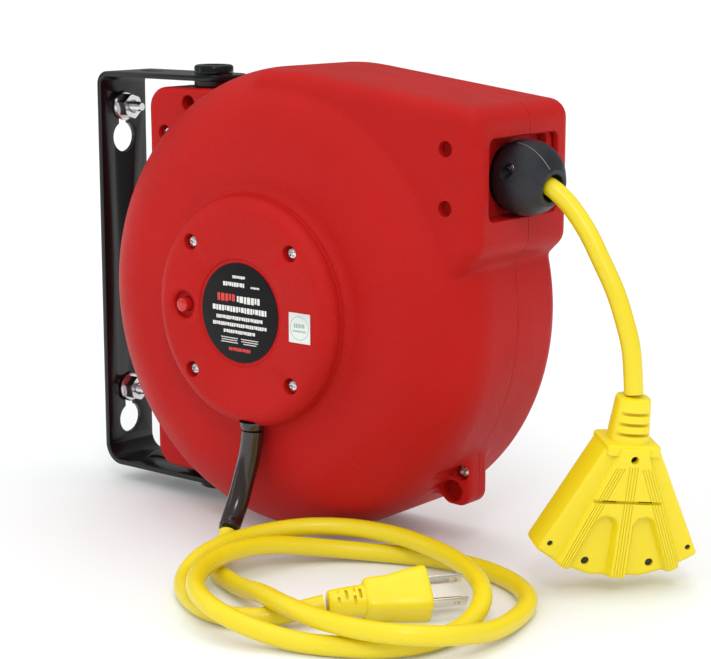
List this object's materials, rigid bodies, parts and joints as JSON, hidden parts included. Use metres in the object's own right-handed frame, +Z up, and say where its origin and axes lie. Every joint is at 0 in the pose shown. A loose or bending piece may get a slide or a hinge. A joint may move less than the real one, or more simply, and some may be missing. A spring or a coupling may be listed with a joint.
{
  "type": "extension cord reel",
  "caption": "Wall-mounted spring-rewound extension cord reel with a round red casing, swivel bracket, ball cord stop, triple tap and plug lead.",
  "frame": {"origin": "centre of the wall plate's back face", "axes": "+X out from the wall towards the cord outlet, +Z up; the hub cover faces -Y and Y = 0 is the casing's seam"},
  "size_m": [0.3794, 0.2269, 0.2543],
  "materials": {
    "casing_red": "fine-grained satin red",
    "button_red": "gloss red",
    "cord_yellow": "satin yellow jacket",
    "moulded_yellow": "satin yellow moulding",
    "black_paint": "gloss black powder coat",
    "black_plastic": "satin black",
    "chrome": "bright plated",
    "label_black": "printed film, plain pattern",
    "silver_foil": "matt foil",
    "relief_black": "gloss black sleeve",
    "charcoal_plastic": "satin charcoal",
    "blade_nickel": "nickel plated",
    "rivet_dark": "blackened",
    "brass": "polished",
    "roller_nylon": "satin black",
    "steel": "plain"
  },
  "bodies": {
    "bracket": {"wall_bracket": "black_paint", "pivot_washer_upper": "black_plastic", "pivot_washer_lower": "black_plastic", "pivot_bolt_upper": "black_paint", "pivot_bolt_lower": "black_paint", "wall_stud_upper": "chrome", "wall_stud_lower": "chrome", "wall_nut_upper": "chrome", "wall_nut_lower": "chrome"},
    "housing": {"front_shell": "casing_red", "rear_shell": "casing_red", "hub_cover": "casing_red", "hub_label": "label_black", "hub_sticker": "silver_foil", "hub_screw_1": "chrome", "hub_screw_2": "chrome", "hub_screw_3": "chrome", "hub_screw_4": "chrome", "case_screw_1": "chrome", "case_screw_2": "chrome", "case_screw_3": "chrome", "main_shaft": "steel", "breaker_body": "black_plastic", "brush_block": "black_plastic", "pawl_pin": "steel", "outlet_frame": "casing_red", "roller_pin_lower": "steel", "roller_pin_upper": "steel", "lead_relief_collar": "relief_black", "lead_relief_sleeve": "relief_black", "lead_cord": "cord_yellow", "plug_body": "moulded_yellow", "plug_blade_hot": "blade_nickel", "plug_blade_neutral": "blade_nickel", "plug_ground_pin": "blade_nickel", "feed_cord": "cord_yellow", "cord_stop_near": "charcoal_plastic", "cord_stop_far": "charcoal_plastic", "cord_stop_screw": "chrome", "outlet_cord": "cord_yellow", "tap_body": "moulded_yellow", "tap_rivet_1": "rivet_dark", "tap_rivet_2": "rivet_dark", "tap_rivet_3": "rivet_dark", "tap_rivet_4": "rivet_dark"},
    "drum": {"drum_front_flange": "black_plastic", "drum_core": "black_plastic", "wound_cord": "cord_yellow", "slip_ring_1": "brass", "slip_ring_2": "brass", "slip_ring_3": "brass", "mainspring": "steel", "spring_cover": "steel", "ratchet_wheel": "steel"},
    "reset_button": {"reset_button": "button_red"},
    "pawl": {"ratchet_pawl": "steel"},
    "roller_lower": {"roller_lower": "roller_nylon"},
    "roller_upper": {"roller_upper": "roller_nylon"}
  },
  "joints": [
    {"name": "housing_swivel", "type": "hinge", "parent": "bracket", "child": "housing", "pos_m": [0.075, 0, 0], "axis": [0, 0, 1], "range_deg": [-80, 90]},
    {"name": "drum_spin", "type": "hinge", "parent": "housing", "child": "drum", "pos_m": [0.157, 0, 0], "axis": [0, 1, 0], "continuous": true},
    {"name": "reset_press", "type": "slide", "parent": "housing", "child": "reset_button", "axis": [0, 1, 0], "range_m": [0, 0.002], "stiffness_N_per_m": 600},
    {"name": "pawl_swing", "type": "hinge", "parent": "housing", "child": "pawl", "pos_m": [0.177, 0, -0.056], "axis": [0, 1, 0], "range_deg": [-12, 6], "stiffness_Nm_per_rad": 0.02},
    {"name": "roller_lower_spin", "type": "hinge", "parent": "housing", "child": "roller_lower", "pos_m": [0.268, 0, 0.0603], "axis": [0, 1, 0], "continuous": true},
    {"name": "roller_upper_spin", "type": "hinge", "parent": "housing", "child": "roller_upper", "pos_m": [0.268, 0, 0.0892], "axis": [0, 1, 0], "continuous": true}
  ]
}
